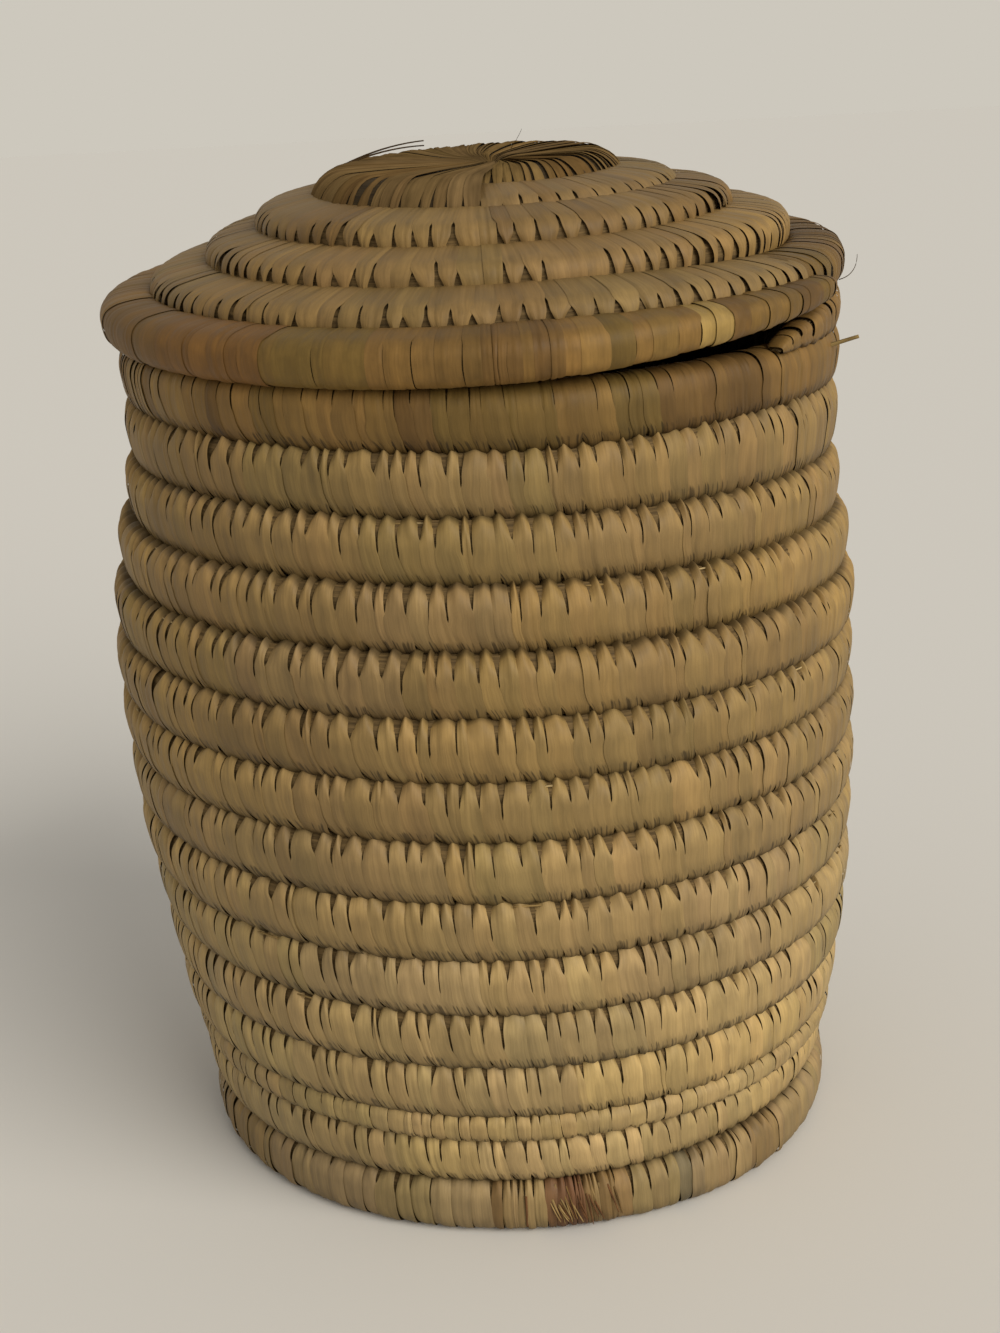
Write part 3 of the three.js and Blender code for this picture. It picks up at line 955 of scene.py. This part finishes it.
WALL_TURN_LENGTH = 2 * math.pi * 165
WALL_BINDING_START = -0.076
STITCHES_PER_TURN = 135.5
FILLER_COURSE = 1
FILLER_STRIPS = (4, 10)
MANNER_COURSES = (2, 8)
TONE_COURSES = (1, 9)


def make_wall():
    edges = even_edges(WALL_BINDING_START, RIM_START, STITCHES_PER_TURN)
    for course in range(RIM_START):
        first = course if course else WALL_BINDING_START
        course_edges = edges_within(edges, first, course + 1)
        manner = blend_manners(LOW_WALL_MANNER, WALL_MANNER, smoothstep(*MANNER_COURSES, course))
        if course == FILLER_COURSE:
            manner = FILLER_MANNER
            course_edges = mixed_edges(course_edges[0], course_edges[-1], WALL_TURN_LENGTH, *FILLER_STRIPS)
        # The tone paints the low wall lighter and the high wall darker, partly as painted light and shade
        tone = lerp(LOW_TONE_AND_PAINTED_LIGHT, HIGH_TONE_AND_PAINTED_SHADE, smoothstep(*TONE_COURSES, course))
        part = bind(wall_path, course_edges, manner, WALL_LEAVES, WALL_TURN_LENGTH, tone=tone)
        dress(strips_object(f"wall_binding_{course:02d}", part), "basket", LEAF, "leaf_gold")
    grass = bundle("wall_bundle", wall_path, WALL_BINDING_START, RIM_START, WALL_MANNER, slack=1.5)
    dress(grass, "basket", GRASS, "leaf_gold", "wall_coil")


# Ends of straws that show here and there between two courses

GROOVE_STRAWS = 70
GROOVE_TURNS = (0.004, 0.011)
GROOVE_STARTS = (0, 0.9)
GROOVE_DROPS = (0, 1.4)
GROOVE_DEPTH = 2.6
GROOVE_RADII = (0.45, 0.4)


def make_groove_straws(first_course=3, count=5):
    lines = []
    for _ in range(GROOVE_STRAWS):
        course = np.full(count, rng.integers(first_course, RIM_START))
        share = np.linspace(0, rng.uniform(*GROOVE_TURNS), count) + rng.uniform(*GROOVE_STARTS)
        level = FOOT_HEIGHT + slipped_edge(course, share) - rng.uniform(*GROOVE_DROPS)
        line = raised(around(share + WALL_START) * (wall_radius(level) - GROOVE_DEPTH)[:, None], level)
        line[:, 0] += sway(level)
        lines.append((line, *GROOVE_RADII))
    dress(threads("groove_straws", lines, (STRAW, GOLD)), "basket", GRASS, "leaf_gold")


# Rim

STICK_START = (150, -58, 375)
STICK_TIP = (166.5, -60, 379.6)
STICK_RADII = (1.0, 0.8)
STICK_SIDES = 10
RIM_STRETCHES = (
    Stretch(13.3, 5, 10, RIM_SLIT_MANNER, DULL_LEAVES),
    Stretch(13.372, 4, 10, RIM_MANNER, DULL_LEAVES),
    Stretch(13.431, 4, 10, RIM_MANNER, BROWN_LEAVES),
    Stretch(13.52, 4, 10, RIM_MANNER, KHAKI_LEAVES),
    Stretch(13.62, 4, 10, RIM_MANNER, DARK_LEAVES),
    Stretch(14.24, 4, 10, RIM_MANNER, DULL_LEAVES),
    Stretch(RIM_END, 6, 13, RIM_SLIT_MANNER, DULL_LEAVES),
)


def make_rim():
    bound = bind_stretches(wall_path, RIM_START, RIM_STRETCHES, WALL_TURN_LENGTH, tone=RIM_TONE)
    for number, part in enumerate(bound):
        dress(strips_object(f"rim_binding_{number}", part), "basket", SMOOTH_LEAF, "leaf_tan")
    grass = bundle("rim_bundle", wall_path, RIM_START, RIM_END, RIM_MANNER, slack=1.3)
    dress(grass, "basket", GRASS, "leaf_tan", "rim_coil")
    line = bow(STICK_START, STICK_TIP, (0, 0, 0))
    stick = threads("rim_stick_end", [(line, *STICK_RADII)], (OLIVE,), STICK_SIDES)
    dress(stick, "basket", GRASS, "leaf_tan")


# Foot, with a frayed patch at the front

FOOT_TURN_LENGTH = 2 * math.pi * FOOT_RADIUS
FLOOR_CLEARANCE = 0.1
FRAYED_TURNS = (0.458, 0.491)
FRAYED_FIBRES = 26
FRAYED_CROWDING = 1.6
FRAYED_DRIFTS = (-0.005, -0.003)
FRAYED_TOPS = (14, 24)
FRAYED_ENDS = (2, 9)
FRAYED_ROOT_HEIGHT = -0.2
FRAYED_END_HEIGHTS = (0.6, 2.4)
FRAYED_SAGS = (0.4, 1.4)
FRAYED_RADII = (0.35, 0.7)
FRAYED_TIP_RADIUS = 0.22
LONG_FIBRE_TURN = 0.5
LONG_FIBRE_ENDS = ((20, 0.3), (4, 0.6))
LONG_FIBRE_RADII = (0.6, 0.5)
FOOT_STRETCHES = (
    Stretch(0.358, 5, 11, FOOT_MANNER, FOOT_LEAVES),
    Stretch(0.399, 3, 7, FOOT_MANNER, MIXED_LEAVES),
    Stretch(0.413, 7, 11, FOOT_MANNER, LIGHT_LEAVES),
    Stretch(0.427, 3, 7, FOOT_MANNER, GREY_LEAVES),
    Stretch(FRAYED_TURNS[0], 6, 10, FOOT_MANNER, OLIVE_LEAVES),
    Stretch(FRAYED_TURNS[1], 1.8, 5, FOOT_MANNER, FRAYED_LEAVES),
    Stretch(0.504, 3, 6, FOOT_MANNER, LIGHT_LEAVES),
    Stretch(0.516, 3, 7, FOOT_MANNER, MIXED_LEAVES),
    Stretch(1, 5, 11, FOOT_MANNER, FOOT_LEAVES),
)


def foot_side(turn, level, height):
    """A place at a level on the foot's round side, at a height over it."""
    section = foot_path(np.array(turn))
    from_middle = abs(2 * level / FOOT_HEIGHT - 1)
    reach = FOOT_DEPTH / 2 * (1 - from_middle**3) ** (1 / 3) + height
    return raised(section.centre + section.out * reach, level - FOOT_HEIGHT / 2)


def make_frayed_fibres():
    lines = []
    first, last = FRAYED_TURNS
    for _ in range(FRAYED_FIBRES):
        turn = last - (last - first) * rng.uniform(0, 1) ** FRAYED_CROWDING
        drift = rng.uniform(*FRAYED_DRIFTS)
        high, low = rng.uniform(*FRAYED_TOPS), rng.uniform(*FRAYED_ENDS)
        start = foot_side(turn, high, FRAYED_ROOT_HEIGHT)
        end = foot_side(turn + drift, low, rng.uniform(*FRAYED_END_HEIGHTS))
        sag = around(np.array(turn + WALL_START)) * rng.uniform(*FRAYED_SAGS)
        lines.append((bow(start, end, sag), rng.uniform(*FRAYED_RADII), FRAYED_TIP_RADIUS))
    start, end = (foot_side(LONG_FIBRE_TURN, *place) for place in LONG_FIBRE_ENDS)
    sag = around(np.array(LONG_FIBRE_TURN + WALL_START))
    lines.append((bow(start, end, sag), *LONG_FIBRE_RADII))
    dress(threads("frayed_fibres", lines, (RUST, UMBER, TAN)), "basket", GRASS, "leaf_grey")


def make_foot():
    bound = bind_stretches(foot_path, 0, FOOT_STRETCHES, FOOT_TURN_LENGTH, tone=FOOT_TONE)
    for number, part in enumerate(bound):
        part.points[..., 2] = np.maximum(part.points[..., 2], FLOOR_CLEARANCE)
        dress(strips_object(f"foot_binding_{number}", part), "basket", LEAF, "leaf_grey")
    grass = bundle("foot_bundle", foot_path, 0, 1, FOOT_MANNER, slack=1.5)
    dress(grass, "basket", GRASS, "leaf_grey", "foot_coil")
    make_frayed_fibres()


# Base

BASE_TURN_LENGTH = 2 * math.pi * 75
BASE_STRIP_WIDTH = 8.2
BASE_PIECES = 2
BASE_CENTRE_STRIPS = 12
BASE_CENTRE_GAP = (0.05, 0.2)
BASE_CENTRE_SHAPE = FanShape(
    hole=1.5,
    drift=0,
    shoulder=6,
    flat_share=0.6,
    edge_radius=lambda turn: BASE_CENTRE_RADIUS,
    edge_level=lambda turn: BASE_MIDDLE,
    top=lambda radius: BASE_MIDDLE + BASE_THICKNESS / 2,
    under=lambda radius: BASE_MIDDLE - BASE_THICKNESS / 2,
)


def make_base():
    last = BASE_TURNS + 1 - BASE_START
    edges = even_edges(BASE_START, last, BASE_TURN_LENGTH / BASE_STRIP_WIDTH)
    part = bind(base_path, edges, BASE_MANNER, WALL_LEAVES, BASE_TURN_LENGTH, facing=math.pi / 2)
    for number, share in enumerate(shared_out(part, BASE_PIECES)):
        dress(strips_object(f"base_binding_{number}", share), "basket", LEAF, "leaf_tan")
    grass = bundle("base_bundle", base_path, BASE_START, last, BASE_BUNDLE_MANNER, slack=2)
    dress(grass, "basket", GRASS, "leaf_tan", "base_coil")

    edges = np.linspace(0, 1, BASE_CENTRE_STRIPS + 1)
    centre = fan(edges, BASE_CENTRE_SHAPE, BASE_CENTRE_GAP, np.zeros_like, (), WALL_LEAVES)
    dress(strips_object("base_centre_binding", centre), "basket", LEAF, "leaf_tan", "base_centre")
    filling = fan_filling("base_centre_grass", BASE_CENTRE_SHAPE, slack=1.5, shade=1)
    dress(filling, "basket", GRASS, "leaf_tan")


# Lid, whose pieces are made about its own middle

LID_MATRIX = (
    Matrix.Translation(Vector(LID_PLACE) * MILLIMETRE)
    @ Matrix.Rotation(LID_TILT_FORWARD, 4, "X")
    @ Matrix.Rotation(-LID_TILT_LEFT, 4, "Y")
)
LID_STRIP_WIDTH = 8.9
LID_STRIP_SIZES = (0.85, 1.15)
LID_RIM_TURN_LENGTH = 2 * math.pi * RIM_RADIUS
LID_RIM_STRETCHES = (
    Stretch(4.4, 6, 12, LID_RIM_SLIT_MANNER, DARK_LEAVES),
    Stretch(4.78, 6, 14, LID_RIM_MANNER, DARK_LEAVES),
    Stretch(4.86, 7, 14, LID_RIM_MANNER, BROWN_LEAVES),
    Stretch(4.915, 5, 12, LID_RIM_MANNER, ORANGE_LEAVES),
    Stretch(4.957, 5, 10, LID_RIM_MANNER, KHAKI_LEAVES),
    Stretch(4.996, 6, 12, LID_RIM_MANNER, DARK_LEAVES),
    Stretch(5.024, 3, 6, LID_RIM_MANNER, BROWN_LEAVES),
    Stretch(5.04, 6, 10, LID_RIM_MANNER, DULL_LEAVES),
    Stretch(5.076, 8, 13, LID_RIM_MANNER, KHAKI_LEAVES),
    Stretch(5.091, 9, 14, LID_RIM_MANNER, OLIVE_LEAVES),
    Stretch(LID_RIM_END, 5, 12, LID_RIM_MANNER, DARK_LEAVES),
)

# The crown, whose tears each have a turn and a width
CROWN_STRIPS = 76
CROWN_GAP = (0.12, 0.32)
CROWN_TOP = 8
CROWN_SWELL = 1.5
CROWN_SWELL_RADII = (10, 55)
CROWN_DIMPLE = 3
CROWN_DIMPLE_RADIUS = 6
CROWN_EDGE_DROP = 1
CROWN_SLIT_CHANCES = (0.5, 0.14)
CROWN_SLIT_TURNS = (0.3, 0.5)
CROWN_TEARS = ((0.882, 0.4), (0.896, 0.24))

# Fine fibres that stand out of the lid, from thick to thin
Fibre = namedtuple("Fibre", "start end sag thick thin")
LOOSE_FIBRES = (
    Fibre((-66, 16, 49.5), (-24, 30, 58.2), (0, 0, 2.2), 0.5, 0.3),
    Fibre((-66, 16, 49.5), (-24, 30, 56), (0, 0, 2.2), 0.5, 0.3),
    Fibre((15, 30, 50), (22, 30, 60), (0.5, 0, 0), 0.15, 0.08),
    Fibre((162, -8, -15), (172, 0, -5.4), (2, 0, -2), 0.25, 0.12),
)
LOOSE_FIBRE_SHADE = 0.4


def on_lid(made):
    """Moves a piece that was made about the lid's own middle to where the lid lies."""
    made.data.transform(LID_MATRIX)
    return made


def crown_top(radius):
    """The crown is nearly flat, with a dimple in the middle."""
    swell = CROWN_SWELL * smoothstep(*CROWN_SWELL_RADII, radius)
    dimple = CROWN_DIMPLE * np.exp(-((radius / CROWN_DIMPLE_RADIUS) ** 2))
    return LID_RISE + CROWN_TOP + swell - dimple


def crown_under(radius):
    return np.minimum(LID_RISE, cone_level(radius)) - CROWN_THICKNESS / 2


CROWN_SHAPE = FanShape(
    hole=2,
    drift=6,
    shoulder=16,
    flat_share=0.64,
    edge_radius=lid_radius,
    edge_level=lambda turn: cone_level(lid_radius(turn)) - CROWN_EDGE_DROP,
    top=crown_top,
    under=crown_under,
)


def crown_slits(turn):
    """The chance of a long slit between two of the crown's strips, most on the right half."""
    return lerp(*CROWN_SLIT_CHANCES, smoothstep(*CROWN_SLIT_TURNS, turn))


def make_crown():
    edges = even_edges(0, 1, CROWN_STRIPS)
    # The crown's tone holds painted shade, as its top got less light
    crown = fan(edges, CROWN_SHAPE, CROWN_GAP, crown_slits, CROWN_TEARS, LID_LEAVES, CROWN_TONE_AND_PAINTED_SHADE)
    dress(on_lid(strips_object("lid_crown_binding", crown)), "lid", WORN_LEAF, "leaf_tan", "lid_crown")
    # The crown's grass is painted dark, as painted shade in its slits
    filling = fan_filling("lid_crown_grass", CROWN_SHAPE, slack=0.7, shade=0.3)
    dress(on_lid(filling), "lid", GRASS, "leaf_tan")


def lid_edges():
    """Edges of the lid's strips, which are about as wide on every row."""
    edges = [1.0]
    while edges[-1] < LID_RIM_START:
        length = 2 * math.pi * lid_radius(edges[-1])
        edges.append(edges[-1] + LID_STRIP_WIDTH * rng.uniform(*LID_STRIP_SIZES) / length)
    return np.array(edges)


def make_lid_rows():
    edges = lid_edges()
    for row in range(1, int(LID_RIM_START) + 1):
        row_edges = edges_within(edges, row, row + 1)
        length = 2 * math.pi * lid_radius(row)
        part = bind(
            lid_path, row_edges, LID_MANNER, LID_LEAVES, length,
            facing=math.pi / 3, direction=-1, tone=LID_TONE_AND_PAINTED_SHADE,
        )
        dress(on_lid(strips_object(f"lid_binding_{row}", part)), "lid", LEAF, "leaf_gold")
    grass = bundle("lid_bundle", lid_path, 1, LID_RIM_START, LID_MANNER, slack=1.4)
    dress(on_lid(grass), "lid", GRASS, "leaf_gold", "lid_coil")


def make_lid_rim():
    bound = bind_stretches(
        lid_path, LID_RIM_START, LID_RIM_STRETCHES, LID_RIM_TURN_LENGTH,
        facing=math.pi / 6, direction=-1, tone=LID_RIM_TONE,
    )
    for number, part in enumerate(bound):
        dress(on_lid(strips_object(f"lid_rim_binding_{number}", part)), "lid", SMOOTH_LEAF, "leaf_brown")
    last = LID_RIM_END - LID_END_ROUNDING / 2
    grass = bundle("lid_rim_bundle", lid_path, LID_RIM_START, last, LID_RIM_MANNER, slack=1.3)
    dress(on_lid(grass), "lid", GRASS, "leaf_brown", "lid_rim_coil")


def make_loose_fibres():
    lines = [(bow(fibre.start, fibre.end, fibre.sag), fibre.thick, fibre.thin) for fibre in LOOSE_FIBRES]
    fibres = threads("lid_loose_fibres", lines, (LOOSE_FIBRE_SHADE * BROWN,))
    dress(on_lid(fibres), "lid", GRASS, "leaf_gold")


# Stage, light and camera

CAMERA_PLACE = Vector((0, -0.9072, 0.5064))
CAMERA_PITCH = math.radians(17.61)
CAMERA_ROLL = math.radians(2.948)
CAMERA_YAW = math.radians(0.205)
FOCAL_PIXELS = 1943.5
IMAGE_HEIGHT = 1333
FLOOR_REACH = 12
FLOOR_COLOUR = (0.787, 0.765, 0.709)
BACKDROP = linear(205, 200, 189)
ROOM_COLOUR = (1.0, 0.97, 0.93)
ROOM_STRENGTH = 0.42


def make_camera():
    data = bpy.data.cameras.new("camera")
    data.lens = FOCAL_PIXELS / IMAGE_HEIGHT * data.sensor_width
    camera = placed("camera", data)
    turn = Matrix.Rotation(-CAMERA_YAW, 4, "Z") @ Matrix.Rotation(math.pi / 2 - CAMERA_PITCH, 4, "X")
    camera.matrix_world = Matrix.Translation(CAMERA_PLACE) @ turn @ Matrix.Rotation(-CAMERA_ROLL, 4, "Z")
    bpy.context.scene.camera = camera


def make_sun(name, place, strength, spread, colour):
    """A broad, soft light that shines from a place towards the basket, evenly over the floor."""
    data = bpy.data.lights.new(name, "SUN")
    data.energy = strength
    data.angle = math.radians(spread)
    data.color = colour
    placed(name, data).rotation_euler = (-Vector(place)).to_track_quat("-Z", "Y").to_euler()


def make_floor():
    mesh = bpy.data.meshes.new("floor")
    corners = [(x * FLOOR_REACH, y * FLOOR_REACH, 0) for x, y in ((-1, -1), (1, -1), (1, 1), (-1, 1))]
    mesh.from_pydata(corners, [], [(0, 1, 2, 3)])
    floor = placed("floor", mesh)
    material = bpy.data.materials.new("pale_floor")
    material.use_nodes = True
    shader = material.node_tree.nodes["Principled BSDF"]
    shader.inputs["Base Color"].default_value = (*FLOOR_COLOUR, 1)
    shader.inputs["Roughness"].default_value = 0.9
    shader.inputs["Specular IOR Level"].default_value = 0
    mesh.materials.append(material)


def make_world():
    """Soft light from all round. Seen directly or in a reflection, it is the backdrop's pale colour."""
    world = bpy.data.worlds.new("studio")
    world.use_nodes = True
    nodes, links = world.node_tree.nodes, world.node_tree.links
    light = nodes["Background"]
    light.inputs["Color"].default_value = (*ROOM_COLOUR, 1)
    light.inputs["Strength"].default_value = ROOM_STRENGTH
    seen = nodes.new("ShaderNodeBackground")
    seen.inputs["Color"].default_value = (*BACKDROP, 1)
    path = nodes.new("ShaderNodeLightPath")
    shown = path.outputs["Is Camera Ray"]
    for kind in ("Is Glossy Ray", "Is Transmission Ray"):
        shown = combined(world.node_tree, "MAXIMUM", shown, path.outputs[kind])
    mix = nodes.new("ShaderNodeMixShader")
    links.new(shown, mix.inputs[0])
    links.new(light.outputs[0], mix.inputs[1])
    links.new(seen.outputs[0], mix.inputs[2])
    links.new(mix.outputs[0], nodes["World Output"].inputs["Surface"])
    bpy.context.scene.world = world


make_wall()
make_rim()
make_foot()
make_groove_straws()
make_base()
make_crown()
make_lid_rows()
make_lid_rim()
make_loose_fibres()
make_floor()
make_world()
make_sun("key", place=(0.95, -1, 0.75), strength=2.3, spread=50, colour=(1, 0.96, 0.9))
make_camera()
bpy.context.scene.view_settings.view_transform = "Standard"
